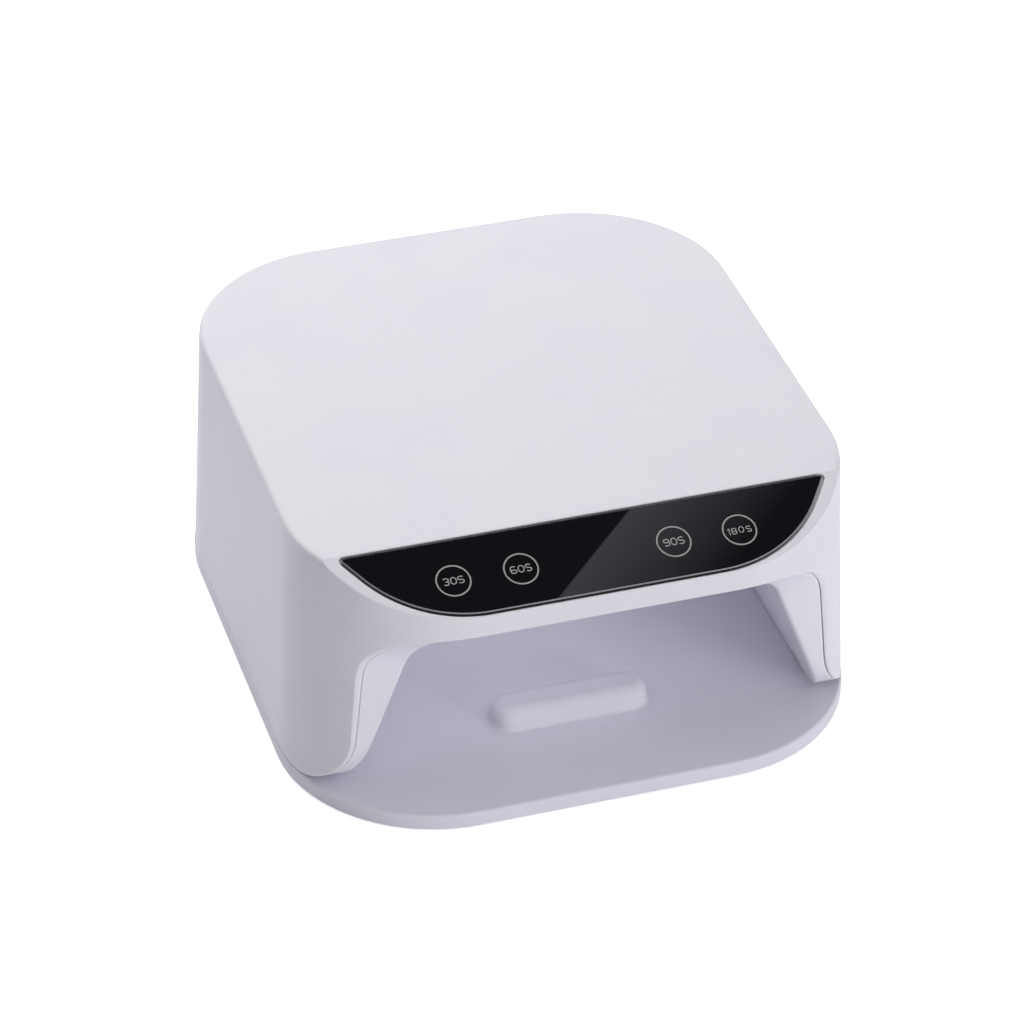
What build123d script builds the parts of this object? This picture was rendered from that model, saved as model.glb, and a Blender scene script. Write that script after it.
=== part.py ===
from build123d import *
import math
import os

# Nail lamp with a lift-off base tray, in millimetres
# Origin at the middle of the footprint on the table, front at -Y, +Z up

# Overall sizes of the lamp body
foot_stand = 1.0
body_width = 210.0
body_depth = 232.0
top_z = 101.0
plan_radius_foot = 58.0
plan_radius_top = 55.5
wall_lean = 0.048
top_edge_radius = 2.0
fine_edge_radius = 0.5

# Base tray
tray_thickness = 6.0
tray_skin = 2.4
tray_skirt = 2.4
tray_edge_radius = 1.0
tray_low_edge_radius = 0.5
cover_thickness = 1.6
cover_gap = 0.2
rest_length = 58.0
rest_depth = 15.0
rest_height = 8.0
rest_corner_radius = 7.0
rest_edge_radius = 4.5
rest_foot_radius = 1.5
rest_setback = 47.2
foot_radius = 7.0
foot_edge_radius = 0.4
foot_recess = 0.9
foot_clear = 0.1
foot_from_side = 27.0
foot_from_end = 33.5

# Seam between the tray and the lamp housing
seam_gap = 0.3

# Housing shell
shell_wall = 2.4
top_skin = 2.6
lip_wall = 0.8
lip_lean = 0.0135
parting_gap = 0.35
rebate_depth = 2.6

# Notch that forms the front of the two legs, seen from the side
ceiling_room = 20.7
leg_setback = 19.5
notch_radius = 20.5
toe_radius = 25.0
toe_drop = 0.6
lip_rise = 0.3

# Hand tunnel in the liner
liner_wall = 2.2
side_room = 16.7
rear_room = 35.5
tunnel_lean = 0.379
tunnel_drop = 7.3
tunnel_corner_radius = 15.0
tunnel_mouth_radius = 2.0

# Slanted front facet and its black touch lens
facet_setback = 34.35
facet_drop = 13.0
lens_high = 1.3
lens_rim = 1.45
lens_from_side = 17.6
lens_corner_radius = 48.0
lens_end_slope = 56.0
lens_tip_radius = 1.0
lens_thickness = 1.8
lens_proud = 0.4
lens_gap = 0.9
lens_chamfer = 0.4
mouth_edge_radius = 0.25
gasket_thickness = 0.5
gasket_inset = 0.6
gasket_window_gap = 0.5
ledge_thickness = 1.5
window_from_tip = 27.0
window_height = 17.0
window_radius = 3.0

# Printed touch keys
key_row = 17.25
outer_key_from_tip = 36.1
key_pitch = 23.9
key_names = ("30S", "60S", "90S", "180S")
ring_radius = 6.17
ring_line = 0.52
print_thickness = 0.1
figure_width = 2.35
figure_height = 3.0
figure_line = 0.38
figure_space = 0.3
figure_flag = 0.55
name_width = 7.65

# Touch board under the lens
touch_board_thickness = 1.2
touch_board_from_tip = 17.0
touch_board_height = 16.4
touch_boss = 1.2
touch_boss_radius = 2.4
touch_screw_from_end = 4.0
touch_screw_row = 5.5
pad_radius = 4.2
pad_gap = 0.1
display_width = 22.0
display_height = 12.0
display_gap = 0.3
digit_width = 4.4
digit_height = 8.6
digit_pitch = 6.6
digit_depth = 0.6

# Lamp beads, their caps and boards
board_thickness = 1.6
cap_radius = 3.3
cap_clear = 0.1
cap_flange_radius = 4.6
cap_flange = 1.0
dome_proud = 1.4
bead_size = 3.5
bead_thickness = 1.0
bead_chamfer = 0.3
bead_gap = 0.2
standoff_radius = 2.6
panel_margin = 5.5
panel_middle_y = -8.0
ceiling_columns = 4
ceiling_rows = 5
ceiling_pitch_x = 28.0
ceiling_pitch_y = 30.0
ceiling_screw_x = 49.0
ceiling_screw_y = 68.0
side_beads = 5
side_pitch = 27.0
side_screw_reach = 62.0
side_panel_up = 42.0
back_columns = 3
back_rows = 2
back_pitch_x = 28.0
back_pitch_y = 26.0
back_screw_x = 41.0
back_panel_down = 23.0

# Screws
screw_radius = 1.5
screw_clear = 0.2
thread_clear = 0.02
screw_head_radius = 2.8
screw_head_height = 1.9
small_screw_radius = 1.0
small_head_radius = 1.9
small_head_height = 1.2
pilot_extra = 1.0

# Screws that join the liner to the shell
side_screw_inset = 8.5
front_screw_from_end = 67.5
middle_screw_from_end = 75.5
rear_screw_from_side = 33.0
rear_screw_from_end = 19.5
liner_screw_length = 10.0
cup_radius = 4.6
cup_height = 4.4
cup_seat = 2.4
shell_boss_radius = 3.6
boss_gap = 0.1

# Magnets that hold the housing on the tray
magnet_radius = 4.0
magnet_thickness = 3.0
magnet_clear = 0.1
magnet_wall = 1.1
magnet_skin = 0.8
magnet_ring_rise = 0.4
side_magnet_inset = 9.0
side_magnet_y = -6.0
rear_magnet_from_side = 53.0
rear_magnet_from_end = 16.5

# Screws of the tray cover
tray_screw_side_inset = 13.0
tray_screw_side_y = 12.0
tray_screw_x = 25.0
tray_screw_end_inset = 11.5
tray_screw_length = 3.6
tray_screw_sink = 1.0
tray_screw_head = 0.9
tray_boss_radius = 3.0

# Power inlet in the rear wall
inlet_z = 20.0
inlet_spotface = 0.6
inlet_neck_radius = 4.0
inlet_neck_length = 11.0
inlet_flange_radius = 5.4
inlet_flange = 0.8
inlet_flange_chamfer = 0.3
inlet_bore_radius = 2.85
inlet_bore_depth = 9.5
inlet_pin_radius = 1.05
inlet_pin_nose = 0.6
inlet_pin_short = 1.0
inlet_clear = 0.15
inlet_pad_radius = 7.5
inlet_pad_depth = 3.6
inlet_nut_flats = 11.0
inlet_nut_height = 2.2
inlet_tag_width = 2.4
inlet_tag_height = 1.4
inlet_tag_thickness = 0.4
inlet_tag_length = 3.0
inlet_contact_drop = 2.7

# Main board behind the tunnel
main_board_gap = 9.8
main_board_from_side = 45.0
main_board_low = 34.0
main_board_from_top = 24.5
main_screw_margin = 4.0
main_screw_side_margin = 6.0
main_screw_length = 7.0
main_screw_bottom = 1.5
capacitor_radius = 4.0
capacitor_length = 10.5
capacitor_edge = 0.6
capacitor_x = (-40.0, -28.0, 42.0)
coil_size = 10.0
coil_thickness = 5.5
coil_chamfer = 1.5
coil_x = (-8.0, 6.0, 20.0)
power_row_up = 16.0
chip_size = 5.0
chip_thickness = 1.6
chip_x = (-14.0, 0.0, 14.0, 44.0)
chip_row_up = 26.5
low_connector_x = (-36.0, 0.0, 36.0)
ribbon_x = -30.0
ceiling_wire_x = 30.0
side_wire_up = 22.0
connector_depth = 5.0
connector_height = 6.0
connector_width = 8.0
header_width = 7.6
header_height = 2.5

# Hand sensors near the front of the side walls
sensor_from_toe = 2.0
sensor_up = 5.5
sensor_slot_length = 6.6
sensor_slot_width = 3.6
sensor_clear = 0.1
sensor_window_proud = 0.4
sensor_window_chamfer = 0.25
sensor_rim = 0.8
sensor_rim_height = 0.8
sensor_board_gap = 4.6
sensor_board_length = 17.0
sensor_board_width = 8.0
sensor_diode_radius = 1.5
sensor_diode_nose = 1.2
sensor_diode_gap = 0.2
sensor_collar = 0.35
sensor_screw_reach = 6.4
sensor_screw_length = 4.6
sensor_post_radius = 2.1

# Wires
wire_radius = 0.9
wire_rise = 2.6
ribbon_width = 8.0
ribbon_thickness = 0.6
ribbon_drop = 2.2
socket_height = 4.6
ceiling_socket_reach = 62.0
side_socket_reach = 54.0
side_wire_clear = 8.0
rear_wire_clear = 5.8
sensor_wire_from_side = 15.0
sensor_wire_clear = 4.5

# How far a shape reaches into its neighbour where both become one
weld = 0.4
# How far a cutting shape passes the surface that it cuts
past = 1.0
# Nearer than this counts as touching
touch = 0.001

# Sizes that follow from the ones above
half_width = body_width / 2
half_depth = body_depth / 2
tray_top = foot_stand + tray_thickness
housing_z = tray_top + seam_gap
notch_top = top_z - ceiling_room
tunnel_top = notch_top - tunnel_drop
back_panel_z = tunnel_top - back_panel_down
rest_y = rest_setback - half_depth
leg_face_y = leg_setback - half_depth
tunnel_half_foot = half_width - side_room
tunnel_back_y = half_depth - rear_room
facet_crease_y = facet_setback - half_depth
facet_front_z = top_z - facet_drop
facet_front_y = wall_lean * (facet_front_z - foot_stand) - half_depth
facet_run = facet_crease_y - facet_front_y
facet_angle = math.atan2(facet_drop, facet_run)
facet_length = math.hypot(facet_drop, facet_run)
lens_half_width = half_width - lens_from_side
lens_low = facet_length - lens_rim
end_slope = math.radians(lens_end_slope)
arc_run = lens_corner_radius * math.sin(end_slope)
arc_rise = lens_corner_radius * (1 - math.cos(end_slope))
lens_corner_x = lens_half_width - arc_run - (lens_low - lens_high - arc_rise) / math.tan(end_slope)
pocket_depth = lens_thickness + gasket_thickness - lens_proud
facet_wall = pocket_depth + ledge_thickness
outer_key_x = lens_half_width - outer_key_from_tip
inner_key_x = outer_key_x - key_pitch
key_x = (-outer_key_x, -inner_key_x, inner_key_x, outer_key_x)
window_half = lens_half_width - window_from_tip
touch_board_half = lens_half_width - touch_board_from_tip
touch_screw_x = touch_board_half - touch_screw_from_end
touch_board_top = facet_wall + touch_boss
touch_gap = touch_board_top - (lens_thickness - lens_proud)
bow_height = (figure_height + figure_line) / 2
wall_angle = math.atan(tunnel_lean)
slant_wall = liner_wall / math.cos(wall_angle)
panel_rise = cap_flange + bead_gap + bead_thickness
panel_top = panel_rise + board_thickness
wire_height = panel_top + wire_rise
tunnel_rear_face = tunnel_back_y + liner_wall
main_board_y = tunnel_rear_face + main_board_gap
main_board_back = main_board_y + board_thickness
main_board_half = half_width - main_board_from_side
main_board_high = top_z - main_board_from_top
wire_y = main_board_back + connector_depth / 2
inlet_face_y = half_depth - wall_lean * (inlet_z - foot_stand) - inlet_spotface
inlet_back_y = inlet_face_y - inlet_neck_length
inlet_mouth_y = inlet_face_y + inlet_flange
sensor_y = leg_face_y + toe_radius + sensor_from_toe
sensor_board_high = sensor_board_gap + touch_board_thickness
sides = (-1, 1)
feet_points = (
    (half_width - foot_from_side, half_depth - foot_from_end),
    (half_width - foot_from_side, foot_from_end - half_depth),
)
liner_screw_points = (
    (half_width - side_screw_inset, front_screw_from_end - half_depth),
    (half_width - side_screw_inset, half_depth - middle_screw_from_end),
    (half_width - rear_screw_from_side, half_depth - rear_screw_from_end),
)
magnet_points = (
    (half_width - side_magnet_inset, side_magnet_y),
    (half_width - rear_magnet_from_side, half_depth - rear_magnet_from_end),
)
tray_screw_points = (
    (half_width - tray_screw_side_inset, tray_screw_side_y),
    (tray_screw_x, tray_screw_end_inset - half_depth),
    (tray_screw_x, half_depth - tray_screw_end_inset),
)

facet_plane = Plane(
    origin=(0, facet_crease_y, top_z),
    x_dir=(1, 0, 0),
    z_dir=(0, -math.sin(facet_angle), math.cos(facet_angle)),
)


# Outlines of the drafted body
def body_section(z, inset):
    """Rounded-square outline of the body at one height, moved inwards by inset."""
    lean = wall_lean * (z - foot_stand) + inset
    share = (z - foot_stand) / (top_z - foot_stand)
    radius = plan_radius_foot + (plan_radius_top - plan_radius_foot) * share - inset
    section = RectangleRounded(body_width - 2 * lean, body_depth - 2 * lean, radius)
    return Pos(0, 0, z) * section


def body_block(low, high, inset=0.0, lean=0.0):
    """Solid between two heights inside the drafted outline; lean adds to the inset with the height."""
    return loft([body_section(z, inset + lean * (z - foot_stand)) for z in (low, high)], ruled=True)


def notch_profile(grow=0.0, rise=0.0):
    """Side profile of the space in front of the legs, in Y and Z."""
    face_y = leg_face_y + grow
    high = notch_top + grow + rise
    fillet_radius = notch_radius + grow
    toe = toe_radius - grow
    toe_y = leg_face_y + toe_radius
    toe_z = housing_z + toe_radius - toe_drop
    fillet_y = face_y - fillet_radius
    fillet_z = high - fillet_radius
    front_y = -body_depth
    slant = math.sqrt(0.5)
    outline = [
        Line((front_y, high), (fillet_y, high)),
        ThreePointArc(
            (fillet_y, high),
            (fillet_y + fillet_radius * slant, fillet_z + fillet_radius * slant),
            (face_y, fillet_z),
        ),
        Line((face_y, fillet_z), (face_y, toe_z)),
        ThreePointArc(
            (face_y, toe_z),
            (toe_y - toe * slant, toe_z - toe * slant),
            (toe_y, toe_z - toe),
        ),
        Line((toe_y, toe_z - toe), (toe_y, -top_z)),
        Line((toe_y, -top_z), (front_y, -top_z)),
        Line((front_y, -top_z), (front_y, high)),
    ]
    return Plane.YZ * make_face(outline)


def notch_block(grow=0.0, rise=0.0):
    """The space in front of the legs, across the whole width."""
    return extrude(notch_profile(grow, rise), body_width, both=True)


def above_facet(depth):
    """Everything above a plane that lies depth below the slanted facet."""
    reach = facet_length * 4
    block = Box(body_width * 2, reach, reach, align=(Align.CENTER, Align.CENTER, Align.MIN))
    return facet_plane * Pos(0, -facet_length, -depth) * block


# Outline of the touch lens on the facet
def lens_face(grow, tip_radius):
    """Flat top edge, straight low edge, and at each end a round corner that runs out straight to the tip."""
    low = -(lens_low + grow)
    high = -(lens_high - grow)
    radius = lens_corner_radius + grow
    half_turn = end_slope / 2
    middle = (lens_corner_x + radius * math.sin(half_turn), low + radius * (1 - math.cos(half_turn)))
    arc_end = (lens_corner_x + radius * math.sin(end_slope), low + radius * (1 - math.cos(end_slope)))
    tip_x = arc_end[0] + (high - arc_end[1]) / math.tan(end_slope)
    outline = [
        Line((-tip_x, high), (tip_x, high)),
        Line((tip_x, high), arc_end),
        ThreePointArc(arc_end, middle, (lens_corner_x, low)),
        Line((lens_corner_x, low), (-lens_corner_x, low)),
        ThreePointArc((-lens_corner_x, low), (-middle[0], middle[1]), (-arc_end[0], arc_end[1])),
        Line((-arc_end[0], arc_end[1]), (-tip_x, high)),
    ]
    face = make_face(outline)
    tips = [face.vertices().sort_by(Axis.X)[0], face.vertices().sort_by(Axis.X)[-1]]
    return fillet(tips, tip_radius)


def pocket_face():
    """Outline of the pocket that holds the lens."""
    return lens_face(lens_gap, lens_tip_radius + lens_gap)


def window_face(grow):
    """Window behind the lens for the touch pads and the display."""
    face = RectangleRounded(2 * (window_half + grow), window_height + 2 * grow, window_radius + grow)
    return Pos(0, -key_row) * face


def on_facet(shape, depth=0.0):
    """Moves a shape drawn on the flat to the facet, depth below its surface."""
    return facet_plane * Pos(0, 0, -depth) * shape


# Round and mirrored helpers
def upright(x, y, low, radius, height):
    """Upright cylinder that stands on the height low."""
    return Pos(x, y, low) * Cylinder(radius, height, align=(Align.CENTER, Align.CENTER, Align.MIN))


def standing_box(x, y, low, width, depth, height):
    """Box that stands on the height low."""
    return Pos(x, y, low) * Box(width, depth, height, align=(Align.CENTER, Align.CENTER, Align.MIN))


def along_y(x, y, z, radius, length):
    """Cylinder along Y that starts at y."""
    return Pos(x, y, z) * Rot(-90, 0, 0) * upright(0, 0, 0, radius, length)


def both_sides(points):
    """The points and their mirror images left and right."""
    return [(side * x, y) for x, y in points for side in sides]


def joined(shapes):
    """One compound of separate solids."""
    return Compound(children=[solid for shape in shapes for solid in shape.solids()])


def pan_screw(radius, length, head_radius, head_height):
    """Pan-head screw with its head's underside at the origin and the shank along +Z."""
    shank = upright(0, 0, 0, radius, length)
    shank = chamfer(shank.edges().sort_by(Axis.Z)[-1], radius * 0.4)
    head = upright(0, 0, -head_height, head_radius, head_height)
    head = fillet(head.edges().sort_by(Axis.Z)[0], head_height * 0.45)
    slot_width = head_radius * 0.28
    slot_length = head_radius * 1.2
    slot = Pos(0, 0, -head_height) * Box(slot_length, slot_width, head_height * 0.9)
    cross = Pos(0, 0, -head_height) * Box(slot_width, slot_length, head_height * 0.9)
    return shank + head - slot - cross


# Base tray
def tray_outline(inset):
    """Outline of the tray, moved inwards by inset."""
    return RectangleRounded(body_width - 2 * inset, body_depth - 2 * inset, plan_radius_foot - inset)


def finger_rest(inset):
    """Soft-edged bar for the fingertips; inset gives the smaller bar that hollows it."""
    low = tray_top - tray_skin - inset
    outline = RectangleRounded(rest_length - 2 * inset, rest_depth - 2 * inset, rest_corner_radius - inset)
    bar = extrude(Pos(0, rest_y, low) * outline, tray_skin + rest_height)
    return fillet(bar.edges().group_by(Axis.Z)[-1], rest_edge_radius - inset)


def at_rest_foot(point):
    """Whether a point lies where the finger rest rises from the tray."""
    off_x = abs(point.X) - rest_length / 2
    off_y = abs(point.Y - rest_y) - rest_depth / 2
    return abs(point.Z - tray_top) < touch and off_x < touch and off_y < touch


def make_base_tray():
    """Tray top with its skirt, finger rest, screw bosses and magnet pockets."""
    block = extrude(Pos(0, 0, foot_stand) * tray_outline(0), tray_thickness)
    block = fillet(block.edges().group_by(Axis.Z)[-1], tray_edge_radius)
    block = fillet(block.edges().group_by(Axis.Z)[0], tray_low_edge_radius)
    hollow = extrude(Pos(0, 0, foot_stand) * tray_outline(tray_skirt), tray_thickness - tray_skin)
    tray = block + finger_rest(0)
    tray = fillet(edges_where(tray, at_rest_foot), rest_foot_radius) - hollow - finger_rest(tray_skin)
    boss_low = foot_stand + cover_thickness
    boss_height = tray_top - tray_skin + weld - boss_low
    for x, y in both_sides(tray_screw_points):
        tray = tray + upright(x, y, boss_low, tray_boss_radius, boss_height)
    for x, y in both_sides(magnet_points):
        tray = tray + upright(x, y, boss_low, magnet_radius + magnet_clear + magnet_wall, boss_height)
    for x, y in both_sides(tray_screw_points):
        hole = tray_screw_sink + tray_screw_length + thread_clear
        tray = tray - upright(x, y, foot_stand, screw_radius + thread_clear, hole)
    for x, y in both_sides(magnet_points):
        pocket = cover_thickness + magnet_thickness + magnet_clear
        tray = tray - upright(x, y, foot_stand, magnet_radius + magnet_clear, pocket)
    return tray


def make_base_cover():
    """Flat cover that closes the tray from below."""
    cover = extrude(Pos(0, 0, foot_stand) * tray_outline(tray_skirt + cover_gap), cover_thickness)
    for x, y in both_sides(feet_points):
        cover = cover - upright(x, y, foot_stand, foot_radius + foot_clear, foot_recess)
    for x, y in both_sides(tray_screw_points):
        cover = cover - upright(x, y, foot_stand, screw_radius + screw_clear, cover_thickness)
        cover = cover - upright(x, y, foot_stand, screw_head_radius + screw_clear, tray_screw_sink)
    return cover


def make_base_screws():
    """Low-head screws that hold the cover."""
    screw = pan_screw(screw_radius, tray_screw_length, screw_head_radius, tray_screw_head)
    seat = foot_stand + tray_screw_sink
    return joined([Pos(x, y, seat) * screw for x, y in both_sides(tray_screw_points)])


def make_rubber_feet():
    """Round feet stuck in the recesses of the cover."""
    foot = upright(0, 0, 0, foot_radius, foot_stand + foot_recess)
    foot = fillet(foot.edges().sort_by(Axis.Z)[0], foot_edge_radius)
    return joined([Pos(x, y, 0) * foot for x, y in both_sides(feet_points)])


def make_tray_magnets():
    """Disc magnets in the tray."""
    low = foot_stand + cover_thickness
    return joined([upright(x, y, low, magnet_radius, magnet_thickness) for x, y in both_sides(magnet_points)])


# Housing shell
def edges_where(shape, passes):
    """Edges of a shape whose points all pass a test."""
    steps = (0, 0.25, 0.5, 0.75, 1)
    return [edge for edge in shape.edges() if all(passes(edge.position_at(step)) for step in steps)]


def on_top(point):
    """Whether a point lies on the flat top, behind the facet."""
    return abs(point.Z - top_z) < touch and point.Y > facet_crease_y - touch


def in_facet(point):
    """Whether a point lies on the slanted facet."""
    return abs(facet_plane.to_local_coords(point).Z) < touch


def notch_rim(shape):
    """Edges between the outer wall and the notch, without the lines that run across between the legs."""
    outline = notch_profile(0, lip_rise).faces()[0].outer_wire()
    rim = []
    for edge in edges_where(shape, lambda point: outline.distance_to(Vector(0, point.Y, point.Z)) < touch):
        run = edge.position_at(1) - edge.position_at(0)
        across = math.hypot(run.Y, run.Z) < touch
        if not across or edge.position_at(0).Y < leg_face_y - notch_radius / 2:
            rim.append(edge)
    return rim


def mouth_rim(shape):
    """Edges where the lens pocket opens in the facet."""
    outline = on_facet(pocket_face().wire())
    return edges_where(shape, lambda point: outline.distance_to(point) < touch)


def outer_form():
    """Outer form of the housing: drafted walls, soft top edge, facet, lens pocket and notch."""
    form = body_block(housing_z, top_z) - above_facet(0)
    crease = edges_where(form, lambda point: on_top(point) and in_facet(point))
    top_edges = [edge for edge in edges_where(form, on_top) if edge not in crease]
    form = fillet(top_edges, top_edge_radius)
    form = fillet(edges_where(form, in_facet), fine_edge_radius)
    form = form - on_facet(extrude(pocket_face(), -pocket_depth))
    form = fillet(mouth_rim(form), mouth_edge_radius)
    form = form - notch_block(0, lip_rise)
    return fillet(notch_rim(form), fine_edge_radius)


def make_outer_shell():
    """White outer shell: walls, flat top, facet with the lens pocket, notch, bosses and inlet hole."""
    inside = body_block(housing_z - past, top_z - top_skin, shell_wall) - above_facet(facet_wall)
    shell = outer_form() - inside
    shell = shell - (body_block(housing_z - past, top_z, lip_wall, lip_lean) & notch_block(rebate_depth))
    shell = shell - on_facet(extrude(window_face(0), -facet_wall * 2))
    shell = shell + shell_bosses() + touch_bosses() + inlet_pad()
    return shell - inlet_hole()


def shell_bosses():
    """Long screw bosses that come down from the top to the liner's cups."""
    low = housing_z + cup_height + boss_gap
    high = top_z - top_skin + weld
    pilot = liner_screw_length - (cup_height - cup_seat) + pilot_extra
    bosses = Part()
    for x, y in both_sides(liner_screw_points):
        boss = upright(x, y, low, shell_boss_radius, high - low)
        bosses = bosses + (boss - upright(x, y, low, screw_radius + thread_clear, pilot))
    return bosses


def touch_screw_points():
    """Screw places of the touch board, on the facet."""
    rows = (touch_screw_row - key_row, -touch_screw_row - key_row)
    return [(side * touch_screw_x, row) for side in sides for row in rows]


def touch_bosses():
    """Short bosses below the facet that carry the touch board."""
    bosses = Part()
    for x, y in touch_screw_points():
        boss = upright(x, y, -touch_boss, touch_boss_radius, touch_boss + weld)
        hole = upright(x, y, -touch_boss, small_screw_radius + thread_clear, touch_boss)
        bosses = bosses + on_facet(boss - hole, facet_wall)
    return bosses


def inlet_cylinder(y_low, y_high, radius):
    """Cylinder along Y on the axis of the power inlet."""
    return along_y(0, y_low, inlet_z, radius, y_high - y_low)


def inlet_pad():
    """Flat pad inside the rear wall that the inlet's nut draws against."""
    return inlet_cylinder(inlet_face_y - inlet_pad_depth, inlet_face_y, inlet_pad_radius)


def inlet_hole():
    """Round hole with a flat spotface for the inlet's flange."""
    pad_y = inlet_face_y - inlet_pad_depth
    hole = inlet_cylinder(pad_y - past, inlet_face_y + past, inlet_neck_radius + inlet_clear)
    return hole + inlet_cylinder(inlet_face_y, half_depth + past, inlet_flange_radius + inlet_clear)


# Liner with the hand tunnel
def tunnel_face(grow):
    """Cross-section of the hand tunnel in X and Z, grown outwards by grow."""
    side = grow / math.cos(wall_angle)
    high = tunnel_top + grow
    low = tray_top - tray_thickness
    low_half = tunnel_half_foot + side - tunnel_lean * (low - tray_top)
    high_half = tunnel_half_foot + side - tunnel_lean * (high - tray_top)
    outline = Polyline(
        (-low_half, low), (low_half, low), (high_half, high), (-high_half, high), close=True
    )
    face = make_face(outline)
    face = fillet(face.vertices().group_by(Axis.Y)[-1], tunnel_corner_radius + grow)
    return Plane.XZ * face


def tunnel_block(grow, back_y):
    """The tunnel's section drawn out from in front of the lamp to back_y."""
    face = Pos(0, back_y, 0) * tunnel_face(grow)
    return extrude(face, back_y + body_depth)


def hand_space():
    """Space in front of the legs together with the tunnel, rounded all around the tunnel's mouth."""
    space = notch_block() + tunnel_block(0, tunnel_back_y)
    outline = notch_profile().faces()[0].outer_wire()
    corners = edges_where(space, lambda point: outline.distance_to(Vector(0, point.Y, point.Z)) < touch)
    mouth = [edge for edge in corners if abs(edge.center().X) < half_width and edge.center().Y > -half_depth]
    return fillet(mouth, tunnel_mouth_radius)


def liner_room():
    """Space inside the shell that the liner may fill."""
    high = notch_top + liner_wall
    front = body_block(housing_z, high, lip_wall + parting_gap, lip_lean)
    front = front & notch_block(rebate_depth - parting_gap)
    return front + body_block(housing_z, high, shell_wall + parting_gap)


def liner_walls():
    """Tunnel walls, front faces of the legs and the closing flange at the foot."""
    room = liner_room()
    tube = tunnel_block(liner_wall, tunnel_rear_face) & room
    face_sheet = (notch_block(liner_wall) - notch_block()) & room
    foot_flange = body_block(housing_z, housing_z + liner_wall, shell_wall + parting_gap)
    walls = tube + face_sheet + foot_flange
    return walls - hand_space()


def make_cavity_liner():
    """White liner: the hand tunnel with its openings, cups and standoffs."""
    liner = liner_walls()
    for x, y in both_sides(liner_screw_points):
        liner = liner + upright(x, y, housing_z, cup_radius, cup_height)
    for x, y in both_sides(magnet_points):
        ring_radius_out = magnet_radius + magnet_clear + magnet_wall
        ring_height = magnet_skin + magnet_thickness + magnet_ring_rise
        liner = liner + upright(x, y, housing_z, ring_radius_out, ring_height)
    for x, y in both_sides(magnet_points):
        low = housing_z + magnet_skin
        liner = liner - upright(x, y, low, magnet_radius + magnet_clear, magnet_thickness * 2)
    for x, y in both_sides(liner_screw_points):
        liner = liner - upright(x, y, housing_z, screw_radius + screw_clear, cup_height)
        liner = liner - upright(x, y, housing_z, screw_head_radius + screw_clear, cup_seat)
    for panel in all_panels:
        liner = liner + panel_standoffs(panel) - panel_openings(panel)
    liner = liner + main_standoffs()
    for side in sides:
        liner = liner + sensor_standoffs(side) - sensor_opening(side)
    return liner


# Lamp panels: the same bead pattern on the ceiling, both side walls and the back
def side_plane(side, y, up):
    """Outer surface of a side wall: x along the tunnel, z outwards, up from the tray."""
    x = side * (tunnel_half_foot + slant_wall - tunnel_lean * up)
    normal = (side * math.cos(wall_angle), 0, math.sin(wall_angle))
    return Plane(origin=(x, y, tray_top + up), x_dir=(0, side, 0), z_dir=normal)


def make_panel(plane, columns, rows, pitch_x, pitch_y, screw_x, screw_y):
    """A lamp panel: its plane, the middles of its beads and the places of its screws."""
    beads = []
    for column in range(columns):
        for row in range(rows):
            beads.append((pitch_x * (column - (columns - 1) / 2), pitch_y * (row - (rows - 1) / 2)))
    screws = [(x, y) for x in (-screw_x, screw_x) for y in sorted({-screw_y, screw_y})]
    width = 2 * (screw_x + panel_margin)
    height = 2 * (max(screw_y, pitch_y * (rows - 1) / 2) + panel_margin)
    return {"plane": plane, "beads": beads, "screws": screws, "width": width, "height": height}


ceiling_plane = Plane(origin=(0, panel_middle_y, tunnel_top + liner_wall), x_dir=(1, 0, 0), z_dir=(0, 0, 1))
back_plane = Plane(origin=(0, tunnel_rear_face, back_panel_z), x_dir=(-1, 0, 0), z_dir=(0, 1, 0))
left_plane = side_plane(-1, panel_middle_y, side_panel_up)
right_plane = side_plane(1, panel_middle_y, side_panel_up)
top_panel = make_panel(
    ceiling_plane,
    ceiling_columns,
    ceiling_rows,
    ceiling_pitch_x,
    ceiling_pitch_y,
    ceiling_screw_x,
    ceiling_screw_y,
)
left_panel = make_panel(left_plane, side_beads, 1, side_pitch, 0, side_screw_reach, 0)
right_panel = make_panel(right_plane, side_beads, 1, side_pitch, 0, side_screw_reach, 0)
back_panel = make_panel(back_plane, back_columns, back_rows, back_pitch_x, back_pitch_y, back_screw_x, 0)
all_panels = (top_panel, left_panel, right_panel, back_panel)


def panel_standoffs(panel):
    """Small posts on the liner that carry a panel's board."""
    posts = Part()
    for x, y in panel["screws"]:
        post = upright(x, y, -weld, standoff_radius, panel_rise + weld)
        hole = upright(x, y, -weld, small_screw_radius + thread_clear, panel_rise + weld)
        posts = posts + panel["plane"] * (post - hole)
    return posts


def panel_openings(panel):
    """Round holes in the liner for the bead caps."""
    holes = Part()
    for x, y in panel["beads"]:
        hole = upright(x, y, -liner_wall - past, cap_radius + cap_clear, liner_wall + 2 * past)
        holes = holes + panel["plane"] * hole
    return holes


def bead_cap():
    """Clear cap: a flange on the outside of the wall and a low dome inside the tunnel."""
    flange = upright(0, 0, 0, cap_flange_radius, cap_flange)
    plug = upright(0, 0, -liner_wall, cap_radius, liner_wall)
    ball_radius = (cap_radius**2 + dome_proud**2) / (2 * dome_proud)
    ball = Pos(0, 0, ball_radius - liner_wall - dome_proud) * Sphere(ball_radius)
    dome = ball & upright(0, 0, -liner_wall - dome_proud, cap_radius, dome_proud)
    return flange + plug + dome


def make_caps(panel):
    """Clear caps of one panel."""
    cap = bead_cap()
    return joined([panel["plane"] * (Pos(x, y) * cap) for x, y in panel["beads"]])


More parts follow.
